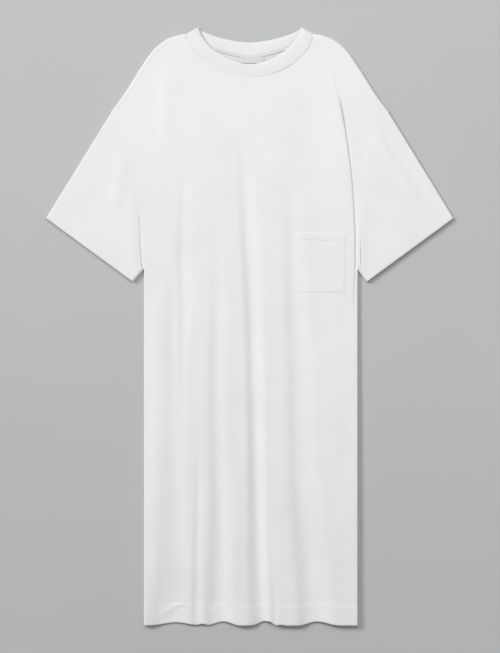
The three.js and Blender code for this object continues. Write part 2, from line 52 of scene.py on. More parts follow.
# Outline of the body and the sleeves
HEM_Y = -566.0
BACK_HEM_Y = -557.0
BODY_HALF = 204.0
BODY_SHIFT = 2.0  # how far the body's sides lie towards the wearer's left
SHIFT_FADE = 60.0  # height over the armpit on which this shift fades out
ARMPIT_Y = 110.0
DROP = (265.0, 408.0)  # where the shoulder fold meets the armhole
CUFF_FOLD = (388.4, 205.6)
CUFF_UNDER = (222.9, 84.3)
SHOULDER_FOLD = [(98, 570), (121, 557), (138, 554), (161, 545), (184, 526), (207, 494), (241, 440), DROP]
SHOULDER_SEAM = {
    1: [(119.8, 549), (134, 536), (155, 518), (176, 497), (205, 461), (226, 440), (262, 408)],
    -1: [(120.4, 549), (136, 546), (157, 537), (179, 519), (201, 488), (236, 436), (262, 408)],
}
ARMHOLE = [(204, 110), (210, 122), (213, 240), (221, 322), (253, 388), DROP]

# Half width, height of the ends, drop at the middle and power of each edge of the neckband
NECKLINES = {
    "front_seam": (121, 556.6, 84, 1.8),
    "front_free": (98, 570, 71.5, 1.65),
    "back_seam": (121, 556.6, 41.6, 1.3),
    "back_free": (98, 570, 29, 1.5),
}

AIR = 3.2  # loft of the front over the back on the chest
HEM_AIR = 8.0  # the same at the hem
LEAST_AIR = 0.2
AIR_FROM, AIR_OVER = 330.0, 800.0  # where the loft starts to grow, and the length that this takes
ROLL = 2.8  # how far in from a folded edge the cloth takes to reach its loft
SIDE_ROLL = 28.0  # the same along the wearer's right side, which is pressed flatter
CALM_EDGE = 14.0  # how far in from a folded edge the small forms take to reach their height

# Share of the flatter roll, what it loses lower down, and the lengths over which each fades
PRESSED = {"share": 0.7, "top_fade": 120.0, "across_fade": 60.0,
           "loss": 0.6, "loss_y": -180.0, "loss_fade": 250.0}
# The cloth sinks towards the lower corner on the wearer's right
SINKING = {"depth": 3.6, "from_y": -450.0, "over_y": 116.0, "from_x": -20.0, "over_x": 60.0, "edge": 34.0}

# Valleys between the broad tube folds of the skirt: height on the dress, place across, depth, reach
# towards the wearer's right and left
VALLEYS = [
    [(110, -146, 0, 18, 20), (50, -146, 1.2, 22, 22), (-26, -148, 2.2, 24, 22), (-179, -146, 1.4, 24, 24),
     (-255, -143, 2.4, 28, 26), (-408, -142, 3.8, 42, 34), (-566, -150, 4.4, 50, 44)],
    [(300, -126, 0, 9, 18), (240, -127.5, 1.1, 11, 24), (126, -131, 2, 14, 26), (50, -126, 2, 13, 22),
     (-26, -127.5, 1.6, 11, 16), (-220, -131, 0, 9, 12)],
    [(190, -62, 0, 18, 18), (50, -62.6, 1.6, 20, 20), (-103, -63, 2.9, 22, 22), (-255, -61, 3.6, 22, 25),
     (-408, -57.5, 5.2, 26, 27), (-566, -60, 6, 33, 32)],
    [(365, -17, 0, 12, 18), (240, -10, 2.0, 14, 26), (126, -3.2, 3.5, 17, 28), (50, 2.5, 4.1, 18, 26),
     (-103, 8, 5.0, 19, 24), (-255, 11.7, 5.9, 20, 21), (-408, 15.5, 7, 25, 19), (-484, 18, 7.4, 28, 18),
     (-566, 24, 7.8, 31, 18)],
    [(290, 72, 0, 18, 24), (200, 80, 1.6, 22, 28), (50, 84.5, 3.2, 26, 32), (-103, 93, 3.8, 29, 38),
     (-179, 90, 3.6, 24, 38), (-331, 95, 4.2, 27, 46), (-408, 105, 5, 31, 46), (-566, 118, 6, 33, 46)],
    [(-215, -98, 0, 9, 9), (-330, -99, 1.3, 10, 10), (-420, -101, 1.9, 11, 12), (-566, -102, 2.4, 12, 14)],
    [(-440, 42, 0, 10, 10), (-566, 48, 1.6, 9, 12)],
]
# Soft ridges and, where the rise is less than 0, creases: start, end, rise, reach to each side
RIDGES = [
    ((-160, 500), (-162, 330), 1.0, 20, 30),
    ((230, 372), (335, 226), 2.2, 26, 12),
    ((245, 378), (351, 234), -1.5, 4, 4),
    ((-240, 330), (-262, 214), 1.2, 18, 24),
    ((-178, -552), (-120, -525), 0.9, 7, 9),
    ((-76, -560), (-62, -528), 0.6, 6, 6),
]
RIDGE_TAPER = 0.25  # share of its length on which a ridge rises, and on which it sinks

# The long fold on the wearer's left: the line of its foot, its section, and where it starts and ends
OVERLAP_FOOT = [(560, 148), (501, 154), (447, 168), (403, 176.2), (352, 185.5), (304, 192), (250, 197),
                (182, 200.5), (126, 201), (50, 198.5), (-100, 198.5), (-200, 201), (-600, 204.5)]
OVERLAP = {"rise": 4.0, "reach": 60.0, "height": 2.0, "gap": 0.6, "gap_reach": 1.8,
           "top": 512.0, "top_fade": 172.0, "end": -20.0, "end_fade": 190.0}
NOSE = {"lean": 1.8, "top": 500.0, "top_fade": 120.0, "end": 20.0, "end_fade": 90.0}

# Unevenness of the cloth: height, size across and along the dress, seed
BROAD_WAVES = [(0.55, 46, 190, 3), (0.35, 24, 120, 4)]
SMALL_WAVES = [(0.12, 17, 26, 5)]
WAVES_ON_CHEST = 0.35  # share of the broad waves that the chest has
WAVES_FROM, WAVES_OVER = 300.0, 800.0  # where they start to grow, and the length that this takes

# The armhole seams lie in a slight dip. Low down the cloth swells beside them: where the swell starts,
# its rise, where it ends and its fall, from the seam outwards
SEAM_DIP, SEAM_DIP_REACH = 0.12, 3.5
SWELL_PLACES = {1: (-12, 10, 0, 16), -1: (-1, 18, 18, 40)}
SWELL = {"height": 0.9, "top": 300.0, "top_fade": 140.0, "end": 60.0, "end_fade": 40.0}

# Turned-up hems, measured from their edge
HEM_STITCHES = (30.0, 35.0)
HEM_ROWS = [0, 0.6, 1.6, 4, 8, 14, 20, 24, 28.5, 29.3, 30, 30.7, 31.5, 33.5, 34.3, 35, 35.6, 36.2, 36.8, 40]
HEM_THICK, CUFF_THICK = 0.34, 0.16  # how much the turned-up layer lifts the cloth
HEM = {"depth": 35.4, "step": 1.4, "groove": 0.12, "groove_reach": 1.1, "pucker": 0.28, "pucker_to": 30.0,
       "pucker_fade": 10.0, "lip": 0.6, "lip_reach": 1.8}
HEM_PUCKERS = (13, 60, 9)  # size along and across them, and seed
# The skirt's hem rises below each valley and hangs lower between them
HEM_WAVE = {"fade": 90.0, "shift": 11.0, "rise": 1.1, "most": 7.5, "low": 4.2}

POCKET = {"top": [(84, 179), (182, 174)], "bottom": [(90, 64), (181, 64)], "wide": 92.0, "tall": 114.0,
          "hem": 15.5, "hem_slant": 5.0, "stitches_in": 2.6, "over": 0.32}
LABEL = {"middle": 4.0, "half": 23.0, "low": 501.0, "high": 513.6, "height": 2.2, "wall": 0.6}

# Seam allowances: how far the front runs on under the neckband and the shoulder strips
FRONT_UNDER_BAND, FRONT_UNDER_STRIP = 2.5, 2.0
FRONT_TOP_Y = 551.0
TUCK, TUCK_REACH = 0.6, 3.0  # how far the front's upper edge dips, and over what length
BACK_OFF_BAND, BACK_OFF_FOLD = 0.4, 0.8  # how far the back's edge stays inside the outline

STRIP = {"points": 90, "under": 3.0, "lift": 0.2, "edge_drop": 0.45, "wall": 1.0}
SLEEVE_POINTS = 90
SLEEVE_ROWS = 46
SLEEVE_OVER_BODY = 1.5  # how far a sleeve's end lies over the edge of the front
SLEEVE_SIDE = 0.5  # how far its folds bulge at half their height
# A sleeve's last rows: distance from its end, and height over the face of the front
SLEEVE_END = [(1.6, 0.1), (0.8, 0.08), (0.3, 0.02), (0.0, -0.15)]

BAND_POINTS = 300
BAND_DEPTH = 26.0
BAND_EDGE, BAND_SWELL = 0.45, 0.8  # thickness of the rib at its edges, and what it gains between them
BAND_SINK = 0.6  # how far its underside lies below the face of the front


def ease(t):
    t = np.clip(t, 0, 1)
    return t * t * (3 - 2 * t)


def faded(y, limits):
    """1 between the top and the end that the limits give, fading to 0 at both."""
    return ease((limits["top"] - y) / limits["top_fade"]) * ease((y - limits["end"]) / limits["end_fade"])


def spline(points, per_span=10):
    """Points of a smooth curve through the given ones."""
    p = np.asarray(points, float)
    p = np.vstack([2 * p[0] - p[1], p, 2 * p[-1] - p[-2]])
    out = []
    for a, b, c, d in zip(p, p[1:], p[2:], p[3:]):
        for t in np.arange(per_span) / per_span:
            out.append(0.5 * (2 * b + (c - a) * t + (2 * a - 5 * b + 4 * c - d) * t**2
                              + (3 * b - a - 3 * c + d) * t**3))
    return np.vstack([out, p[-2]])


def lengths_along(path):
    steps = np.linalg.norm(np.diff(path, axis=0), axis=1)
    return np.concatenate([[0], np.cumsum(steps)])


def points_at(path, lengths, places):
    """Points of a polyline at these places along it."""
    return np.stack([np.interp(places, lengths, path[:, i]) for i in range(path.shape[1])], axis=1)


def along(points, count):
    """Evenly spaced points along a polyline."""
    path = np.asarray(points, float)
    lengths = lengths_along(path)
    return points_at(path, lengths, np.linspace(0, 1, count) * lengths[-1])


def unit(vectors, axis=1):
    return vectors / np.maximum(np.linalg.norm(vectors, axis=axis, keepdims=True), 1e-9)


def distance_to(path, x, y):
    least = np.full(np.shape(x), 1e9)
    for (ax, ay), (bx, by) in zip(path, path[1:]):
        dx, dy = bx - ax, by - ay
        t = np.clip(((x - ax) * dx + (y - ay) * dy) / (dx * dx + dy * dy), 0, 1)
        least = np.minimum(least, np.hypot(x - ax - t * dx, y - ay - t * dy))
    return least


NOISE_CELLS = 64
NOISE_START = (31.3, 29.7)


def noise(x, y, cell_x, cell_y, seed):
    """Smooth noise from -1 to 1, the same each run."""
    table = np.random.default_rng(seed).uniform(-1, 1, (NOISE_CELLS, NOISE_CELLS))
    gx, gy = np.asarray(x) / cell_x + NOISE_START[0], np.asarray(y) / cell_y + NOISE_START[1]
    ix, iy = np.floor(gx).astype(int), np.floor(gy).astype(int)
    fx, fy = (f**3 * (f * (6 * f - 15) + 10) for f in (gx - ix, gy - iy))

    def row(j):
        j = j % NOISE_CELLS
        return table[ix % NOISE_CELLS, j] * (1 - fx) + table[(ix + 1) % NOISE_CELLS, j] * fx

    return row(iy) * (1 - fy) + row(iy + 1) * fy


def waves(x, y, table):
    return sum(height * noise(x, y, across, down, seed) for height, across, down, seed in table)


STEP_Y = 5.0
FINE_Y = np.arange(-700.0, 700.0, STEP_Y)


def smooth_line(ys, values, spread=35.0):
    """A function of y through the values, with its corners rounded."""
    order = np.argsort(ys)
    dense = np.interp(FINE_Y, np.asarray(ys, float)[order], np.asarray(values, float)[order])
    reach = np.arange(-3 * spread, 3 * spread + 1, STEP_Y)
    weights = np.exp(-0.5 * (reach / spread) ** 2)
    padded = np.pad(dense, len(reach) // 2, mode="reflect", reflect_type="odd")
    soft = np.convolve(padded, weights / weights.sum(), mode="valid")
    return lambda y: np.interp(y, FINE_Y, soft)


armhole_curve = spline(ARMHOLE)
seam_curves = {side: spline(points) for side, points in SHOULDER_SEAM.items()}
shoulder_curve = np.vstack([[SHOULDER_FOLD[0]], spline(SHOULDER_FOLD[1:])])
foot_x = smooth_line(*zip(*OVERLAP_FOOT), spread=12.0)
valley_lines = []
for stations in VALLEYS:
    ys, *columns = zip(*stations)
    valley_lines.append([smooth_line(ys, column) for column in columns])


def mirrored(path, side):
    return np.asarray(path, float) * (side, 1)


def body_side(side):
    return BODY_SHIFT + side * BODY_HALF


def armhole_path(side):
    shift = BODY_SHIFT * (1 - ease((armhole_curve[:, 1] - ARMPIT_Y) / SHIFT_FADE))
    return np.stack([side * armhole_curve[:, 0] + shift, armhole_curve[:, 1]], axis=1)


def edge_x(side, y):
    """The front's edge on one side: side seam, then armhole, then straight up."""
    path = armhole_path(side)
    return np.where(y <= ARMPIT_Y, body_side(side), np.interp(y, path[:, 1], path[:, 0]))


FOLDED_EDGES = []
for side in (1, -1):
    seam_x = body_side(side)
    FOLDED_EDGES.append(mirrored(np.vstack([shoulder_curve, [CUFF_FOLD]]), side))
    FOLDED_EDGES.append(np.array([mirrored(CUFF_UNDER, side), (seam_x, ARMPIT_Y), (seam_x, 2 * HEM_Y)]))


def distance_to_fold(x, y):
    return np.minimum.reduce([distance_to(path, x, y) for path in FOLDED_EDGES])


def bump(offset, left, right):
    t = np.clip(np.abs(offset) / np.where(offset < 0, left, right), 0, 1)
    return (1 + np.cos(np.pi * t)) / 2


def valleys(x, y):
    total = 0
    for place, depth, left, right in valley_lines:
        total = total + np.clip(depth(y), 0, None) * bump(x - place(y), left(y), right(y))
    return total


def skirt_air(y):
    return AIR + (HEM_AIR - AIR) * ease((AIR_FROM - y) / AIR_OVER)


def ridges(x, y):
    total = 0
    for (ax, ay), (bx, by), height, left, right in RIDGES:
        dx, dy = bx - ax, by - ay
        length = math.hypot(dx, dy)
        t = np.clip(((x - ax) * dx + (y - ay) * dy) / length**2, 0, 1)
        aside = (dx * (y - ay) - dy * (x - ax)) / length
        fade = ease(t / RIDGE_TAPER) * ease((1 - t) / RIDGE_TAPER)
        total = total + height * fade * bump(aside, left, right)
    return total


def overlap(x, y):
    """The long fold: a steep rise over its foot, a soft fall behind, and a gap under its nose."""
    inside = foot_x(y) - x
    raised = ease(inside / OVERLAP["rise"]) * (1 - ease((inside - OVERLAP["rise"]) / OVERLAP["reach"]))
    gap = OVERLAP["gap"] * np.exp(-((inside / OVERLAP["gap_reach"]) ** 2))
    return faded(y, OVERLAP) * (OVERLAP["height"] * raised - gap)


def overhang(x, y):
    """How far the overlap fold's nose leans out over its foot."""
    t = np.clip((foot_x(y) - x) / OVERLAP["rise"], 0, 1)
    return NOSE["lean"] * faded(y, NOSE) * np.sin(np.pi * t)


def unevenness(x, y):
    down = ease((WAVES_FROM - y) / WAVES_OVER)
    return waves(x, y, BROAD_WAVES) * (WAVES_ON_CHEST + down) + waves(x, y, SMALL_WAVES)


def outer(x, y):
    """Height of the outer face of the cloth on top, at any place on the dress."""
    in_from_fold = distance_to_fold(x, y)
    round_edge = np.sqrt(1 - (1 - np.clip(in_from_fold / ROLL, 0, 1)) ** 2)
    share = PRESSED["share"] - PRESSED["loss"] * ease((PRESSED["loss_y"] - y) / PRESSED["loss_fade"])
    pressed = ease((ARMPIT_Y - y) / PRESSED["top_fade"]) * ease(-x / PRESSED["across_fade"]) * share
    loft = skirt_air(y) * (round_edge + (ease(in_from_fold / SIDE_ROLL) - round_edge) * pressed)
    sinking = SINKING["depth"] * ease((SINKING["from_y"] - y) / SINKING["over_y"])
    sinking = sinking * ease((SINKING["from_x"] - x) / SINKING["over_x"])
    sinking = sinking * ease(in_from_fold / SINKING["edge"])
    inward = np.clip(in_from_fold / CALM_EDGE, 0, 1)
    small = (ridges(x, y) + unevenness(x, y) - valleys(x, y)) * inward
    return REST + JERSEY + np.maximum(loft + small - sinking, LEAST_AIR) + overlap(x, y)


def hem_shift(x, y):
    """Between the valleys the hem hangs a little lower."""
    near = ease(1 - (y - HEM_Y) / HEM_WAVE["fade"])
    rise = np.clip(valleys(x - HEM_WAVE["shift"], HEM_Y) * HEM_WAVE["rise"], 0, HEM_WAVE["most"])
    return near * (rise - HEM_WAVE["low"])


def normals(grid):
    return unit(np.cross(np.gradient(grid, axis=1), np.gradient(grid, axis=0)), axis=2)


def closed_grid(top, bottom, wrap=False):
    """Vertices and faces of the solid between two grids of points."""
    rows, columns, _ = top.shape
    index = np.arange(rows * columns).reshape(rows, columns)
    if wrap:
        index = np.concatenate([index, index[:, :1]], axis=1)
    below = index + rows * columns
    quads = [
        np.stack([index[:-1, :-1], index[:-1, 1:], index[1:, 1:], index[1:, :-1]], -1).reshape(-1, 4),
        np.stack([below[:-1, :-1], below[1:, :-1], below[1:, 1:], below[:-1, 1:]], -1).reshape(-1, 4),
        np.stack([index[0, :-1], below[0, :-1], below[0, 1:], index[0, 1:]], -1),
        np.stack([index[-1, :-1], index[-1, 1:], below[-1, 1:], below[-1, :-1]], -1),
    ]
    if not wrap:
        quads.append(np.stack([index[:-1, 0], index[1:, 0], below[1:, 0], below[:-1, 0]], -1))
        quads.append(np.stack([index[:-1, -1], below[:-1, -1], below[1:, -1], index[1:, -1]], -1))
    return np.vstack([top.reshape(-1, 3), bottom.reshape(-1, 3)]), np.vstack(quads)


def shell(grid, wall=WALL):
    return closed_grid(grid, grid - normals(grid) * wall)


def make(name, parts, uvs=None):
    """One mesh object from (points in mm, faces) parts, smooth, riding on the one body."""
    points, faces, offset = [], [], 0
    for part_points, part_faces in parts:
        points.append(part_points)
        faces.append(part_faces + offset)
        offset += len(part_points)
    points, faces = np.vstack(points) * MM, np.vstack(faces)
    mesh = bpy.data.meshes.new(name)
    mesh.from_pydata(points.tolist(), [], faces.tolist())
    mesh.update()
    mesh.polygons.foreach_set("use_smooth", np.ones(len(mesh.polygons), bool))
    if uvs is not None:
        layer = mesh.uv_layers.new(name="along")
        corners = np.zeros(len(mesh.loops), int)
        mesh.loops.foreach_get("vertex_index", corners)
        layer.data.foreach_set("uv", (uvs[corners] * MM).ravel())
    obj = bpy.data.objects.new(name, mesh)
    bpy.context.scene.collection.objects.link(obj)
    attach(obj, "root")
    return obj


DENSE_REACH = 7.0  # length at each end on which points are closer together


def spaced(total, dense_ends, count):
    """Places from 0 to 1, closer together near the ends."""
    s = np.linspace(0, 1, 2001)
    left, right = dense_ends
    weight = 1 + left * np.exp(-s * total / DENSE_REACH) + right * np.exp(-(1 - s) * total / DENSE_REACH)
    cumulative = np.concatenate([[0], np.cumsum((weight[1:] + weight[:-1]) / 2)])
    return np.interp(np.linspace(0, 1, count), cumulative / cumulative[-1], s)


def neck_y(name, x):
    half, end, drop, power = NECKLINES[name]
    across = np.clip(np.abs(x) / half, 0, 1) ** power
    return end - drop * (1 - across) ** (1 / power)


def neck_path(name, count, grow=0.0):
    """Points along an edge of the neckband, moved out from it by grow."""
    half, end, drop, power = NECKLINES[name]
    angle = np.linspace(np.pi, 0, 1441)
    x = half * np.abs(np.cos(angle)) ** (2 / power) * np.sign(np.cos(angle))
    path = along(np.stack([x, end - drop * np.sin(angle) ** (2 / power)], 1), count)
    tangent = unit(np.gradient(path, axis=0))
    return path + grow * np.stack([tangent[:, 1], -tangent[:, 0]], 1)


def top_of_front(x):
    """Upper edge of the front: it runs a little way under the neckband and the shoulder strips."""
    neck = neck_y("front_seam", x) + FRONT_UNDER_BAND
    seams = {}
    for side, curve in seam_curves.items():
        seams[side] = np.interp(np.abs(x), curve[:, 0], curve[:, 1]) + FRONT_UNDER_STRIP
    shoulder = np.where(x > 0, seams[1], seams[-1])
    return np.where(np.abs(x) < 120, np.minimum(neck, FRONT_TOP_Y), shoulder)


def top_of_back(x):
    neck = neck_y("back_seam", x) - BACK_OFF_BAND
    shoulder = np.interp(np.abs(x), shoulder_curve[1:, 0], shoulder_curve[1:, 1]) - BACK_OFF_FOLD
    return np.where(np.abs(x) < NECKLINES["back_seam"][0], neck, shoulder)


# A panel has its hem's rows, then even rows up to this height, and above it rows that bend to its top
SPLIT_Y = 396.0
HEM_ROWS_END = 46.0
ROW_STEP = 5.4


def panel_plan(hem, top_of, across):
    """Plan places of a body panel: rows from its hem to its upper edge, columns across."""
    even = np.arange(hem + HEM_ROWS_END, SPLIT_Y, ROW_STEP)
    lower = np.concatenate([hem + np.array(HEM_ROWS), even, [SPLIT_Y]])
    x_low = across(lower[:, None])
    y_low = np.broadcast_to(lower[:, None], x_low.shape)
    y_top = top_of(x_low[-1])
    for _ in range(8):
        y_top = top_of(across(y_top))
    y_high = SPLIT_Y + (y_top - SPLIT_Y) * spaced(80, (0, 5), 40)[1:, None]
    return np.vstack([x_low, across(y_high)]), np.vstack([y_low, y_high])


INNER_COLUMNS = spaced(404, (4, 4), 142)
BEYOND_COLUMNS = spaced(60, (0, 1), 26)[1:]
FRONT_COLUMNS = np.concatenate([INNER_COLUMNS, BEYOND_COLUMNS])
IS_INNER = np.arange(len(FRONT_COLUMNS)) < len(INNER_COLUMNS)
BACK_COLUMNS = np.linspace(0, 1, 90)


def front_across(y):
    """Places across the front at height y: one column follows the overlap fold's foot."""
    right, left = edge_x(-1, y), edge_x(1, y)
    foot = np.minimum(foot_x(y), left - 1.0)
    return np.where(IS_INNER, right + (foot - right) * FRONT_COLUMNS, foot + (left - foot) * FRONT_COLUMNS)


def back_across(y):
    right, left = edge_x(-1, y), edge_x(1, y)
    return right + (left - right) * BACK_COLUMNS


def at_armhole(x, y):
    """What the armhole seams add to the height: the swell beside them, less their dip."""
    d = np.minimum(distance_to(armhole_path(1), x, y), distance_to(armhole_path(-1), x, y))
    out = np.abs(x - BODY_SHIFT) - (edge_x(1, y) - BODY_SHIFT)
    beside = {}
    for side, (start, rise, end, fall) in SWELL_PLACES.items():
        beside[side] = ease((out - start) / rise) * (1 - ease((out - end) / fall))
    swell = SWELL["height"] * np.where(x > 0, beside[1], beside[-1]) * faded(y, SWELL)
    return swell - SEAM_DIP * (1 - ease(d / SEAM_DIP_REACH))


def hem_form(from_edge, x, y, thickness):
    """What a turned-up hem adds: its second layer, rows of stitching, puckers and a rounded lip."""
    layer = thickness * (1 - ease((from_edge - HEM["depth"]) / HEM["step"]))
    grooves = 0
    for place in HEM_STITCHES:
        grooves = grooves + HEM["groove"] * np.exp(-(((from_edge - place) / HEM["groove_reach"]) ** 2))
    in_hem = 1 - ease((from_edge - HEM["pucker_to"]) / HEM["pucker_fade"])
    puckers = HEM["pucker"] * noise(x + y, x - y, *HEM_PUCKERS) * in_hem
    lip = HEM["lip"] * (1 - ease(from_edge / HEM["lip_reach"]))
    return layer - grooves + puckers - lip


def front_top(x, y):
    """Height of the front's outer face with its hem."""
    return outer(x, y) + at_armhole(x, y) + hem_form(y - HEM_Y, x, y, HEM_THICK)


def front_points():
    """The front's outer face, with two columns more on each side that turn its edges down."""
    x, y = panel_plan(HEM_Y, top_of_front, front_across)
    tuck = TUCK * (1 - ease((top_of_front(x) - y) / TUCK_REACH))
    grid = np.stack([x + overhang(x, y), y + hem_shift(x, y), front_top(x, y) - tuck], axis=2)
    edges = []
    for column, out in ((0, -1), (-1, 1)):
        rim = grid[:, column]
        is_side_seam = (rim[:, 1] <= ARMPIT_Y)[:, None]
        on_back = np.column_stack([rim[:, :2], np.full(len(rim), 1.5)])
        middle = rim + np.where(is_side_seam, (out * 0.35, 0, -1.0), (0, 0, -0.4))
        foot = np.where(is_side_seam, on_back, rim - (0, 0, 1.4))
        edges.append((middle[:, None], foot[:, None]))
    (middle_right, foot_right), (middle_left, foot_left) = edges
    return np.concatenate([foot_right, middle_right, grid, middle_left, foot_left], axis=1)


def back_plate():
    x, y = panel_plan(BACK_HEM_Y, top_of_back, back_across)
    top = np.stack([x, y, 1.35 + 0.12 * noise(x, y, 30, 60, 12)], axis=2)
    bottom = np.stack([x, y, np.full(x.shape, UNDERSIDE)], axis=2)
    return closed_grid(top, bottom)


def shoulder_strip(side):
    """The part of the back that wraps over the shoulder to the seam on the front."""
    count = STRIP["points"]
    rim = mirrored(along(shoulder_curve[1:], count), side)
    seam = mirrored(along(seam_curves[side], count), side)
    across = seam - rim
    length = np.linalg.norm(across, axis=1, keepdims=True)
    direction = across / length
    profile = [np.column_stack([rim + direction * STRIP["under"], np.full(count, 0.1)]),
               np.column_stack([rim, np.full(count, 0.3)]),
               np.column_stack([rim - direction * 0.5, np.full(count, REST)])]
    for t in spaced(15, (2, 9), 22):
        place = rim + across * t
        at_seam = 1 - ease(length[:, 0] * (1 - t))
        z = outer(place[:, 0], place[:, 1]) + STRIP["lift"] - STRIP["edge_drop"] * at_seam
        profile.append(np.column_stack([place, z]))
    grid = np.stack(profile, axis=1)
    outward = normals(grid)
    if outward[:, -3:, 2].mean() < 0:
        outward = -outward
    return closed_grid(grid, grid - outward * STRIP["wall"])


def cuff_distance(side, x, y):
    ax, ay = side * CUFF_FOLD[0], CUFF_FOLD[1]
    bx, by = side * CUFF_UNDER[0], CUFF_UNDER[1]
    dx, dy = bx - ax, by - ay
    return np.abs(dx * (y - ay) - dy * (x - ax)) / math.hypot(dx, dy)


def sleeve_top(side, x, y):
    return outer(x, y) + at_armhole(x, y) + hem_form(cuff_distance(side, x, y), x, y, CUFF_THICK)


def sleeve_plan(side):
    """Plan places of a sleeve: rows from its cuff to the armhole, columns from its fold to its seam."""
    around = spaced(330, (5, 5), SLEEVE_POINTS)
    path = armhole_path(side)[::-1]
    lengths = lengths_along(path)
    arm = points_at(path, lengths, around * lengths[-1])
    arm[:, 0] -= side * SLEEVE_OVER_BODY
    fold, under = mirrored([CUFF_FOLD, CUFF_UNDER], side)
    cuff = fold + (under - fold) * around[:, None]
    reach = np.linalg.norm(arm - cuff, axis=1)
    hem_part = np.minimum(HEM_ROWS[-1], 0.8 * reach) / reach
    rows = [np.array(HEM_ROWS)[:, None] / HEM_ROWS[-1] * hem_part]
    rows.append(hem_part + (1 - hem_part) * np.linspace(0, 1, SLEEVE_ROWS)[1:-1, None])
    rows.append([1 - from_end / reach for from_end, _ in SLEEVE_END])
    return cuff + (arm - cuff) * np.vstack(rows)[:, :, None]


def sleeve(side):
    """A flattened tube, with its fold along the upper edge and its seam under the arm."""
    plan = sleeve_plan(side)
    lifts = [lift for _, lift in SLEEVE_END]
    lifts = np.array([lifts[0]] * (len(plan) - len(lifts)) + lifts)[:, None]
    top = sleeve_top(side, plan[:, :, 0], plan[:, :, 1]) + lifts
    inward = unit(np.gradient(plan, axis=1), axis=2)

    def level(columns, z, move=0.0):
        points = plan[:, columns] + inward[:, columns] * move
        heights = np.broadcast_to(np.asarray(z)[..., None], points.shape[:2] + (1,))
        return np.concatenate([points, heights], axis=2)

    every, back = np.arange(SLEEVE_POINTS), np.arange(SLEEVE_POINTS)[::-1]
    inset = np.zeros(SLEEVE_POINTS)
    inset[[0, -1]] = (WALL, -WALL)
    outside = np.concatenate([
        level(every, top), level([-1], SIDE_SEAM, SLEEVE_SIDE),
        level(back, UNDERSIDE), level([0], SIDE_SEAM, -SLEEVE_SIDE)], 1)
    inside = np.concatenate([
        level(every, top - WALL, inset[:, None]), level([-1], SIDE_SEAM, -WALL),
        level(back, WALL, inset[back][:, None]), level([0], SIDE_SEAM, WALL)], 1)
    return closed_grid(outside, inside, wrap=True)


def ends_drawn_in(points):
    """The same points, with both ends moved in by a wall."""
    moved = points.copy()
    for end, next_in in ((0, 1), (-1, -2)):
        step = points[next_in] - points[end]
        moved[end] = points[end] + step / np.linalg.norm(step) * WALL
    return moved


def band_height(t):
    return BAND_EDGE + BAND_SWELL * (1 - np.abs(2 * t - 1) ** 3)


def neckband():
    """A flattened ring of rib: its front half lies on the front, its back half on the surface."""
    seam_front, free_front = (neck_path(n, BAND_POINTS) for n in ("front_seam", "front_free"))
    seam_back, free_back = (neck_path(n, BAND_POINTS) for n in ("back_seam", "back_free"))
    run = lengths_along(seam_front)
    run = np.concatenate([run, run[-1] + lengths_along(seam_back)])
    outside, inside, uvs = [], [], []
    for t in spaced(BAND_DEPTH, (3, 3), 15):
        front = seam_front + (free_front - seam_front) * t
        back = (seam_back + (free_back - seam_back) * t)[::-1]
        x, y = front.T
        under = outer(x, y) - BAND_SINK + 0.4 * noise(x, y, 40, 40, 21)
        thick = band_height(t)
        level_back = np.full(BAND_POINTS, UNDERSIDE)
        outside.append(np.vstack([np.column_stack([front, under + thick]),
                                  np.column_stack([back, level_back])]))
        inside.append(np.vstack([np.column_stack([ends_drawn_in(front), under]),
                                 np.column_stack([ends_drawn_in(back), level_back + thick])]))
        uvs.append(np.column_stack([run, np.full(len(run), BAND_DEPTH * t)]))
    uv = np.array(uvs).reshape(-1, 2)
    return [closed_grid(np.array(outside), np.array(inside), wrap=True)], np.vstack([uv, uv])


def pocket():
    low, high = np.array(POCKET["bottom"], float), np.array(POCKET["top"], float)
    s = spaced(POCKET["wide"], (3, 3), 60)[None, :, None]
    t = spaced(POCKET["tall"], (3, 5), 74)[:, None, None]
    plan = (low[0] + (low[1] - low[0]) * s) * (1 - t) + (high[0] + (high[1] - high[0]) * s) * t
    x, y, s, t = plan[:, :, 0], plan[:, :, 1], s[:, :, 0], t[:, :, 0]
    side = np.minimum(s, 1 - s) * POCKET["wide"]
    below, above = t * POCKET["tall"], (1 - t) * POCKET["tall"]
    edge = np.minimum(side, below)
    rounded = -0.22 * (1 - ease(np.minimum(edge, above + 0.8) / 3.5))
    stitched = -0.06 * np.exp(-((edge - POCKET["stitches_in"]) ** 2))
    line = above - POCKET["hem"] - POCKET["hem_slant"] * (s - 0.5)
    groove = 0.75 * np.exp(-(((line + 0.6) / 1.1) ** 2)) * ease(side / 12)
    hem = 0.2 * (1 - ease(line / 1.2)) - groove
    slack = 0.3 * np.exp(-above / 26) * ease(side / 22) + 0.3 * noise(x, y, 22, 30, 31)
    z = outer(x, y) + POCKET["over"] + rounded + stitched + hem + slack * ease(edge / 8)
    return shell(np.stack([x, y, z], axis=2), THIN_WALL)


def label():
    x, y = np.meshgrid(np.linspace(-1, 1, 30), np.linspace(LABEL["low"], LABEL["high"], 10))
    x = LABEL["middle"] + LABEL["half"] * x
    z = LABEL["height"] + 0.1 * np.sin(x / 5) - 0.3 * (1 - ease((LABEL["high"] - y) / 1.5))
    return shell(np.stack([x, y, z], axis=2), LABEL["wall"])


def seam_ridge():
    """The overlocked seam inside the back neck."""
    rows = []
    for s in np.linspace(0, 1, 7):
        path = neck_path("back_seam", 160, 0.6 + 4.6 * s)[8:-8]
        height = 1.5 + 1.1 * math.sin(math.pi * (0.08 + 0.84 * s))
        rows.append(np.column_stack([path, np.full(len(path), height)]))
    grid = np.array(rows)
    return closed_grid(grid, grid * (1, 1, 0) + (0, 0, 1.3))


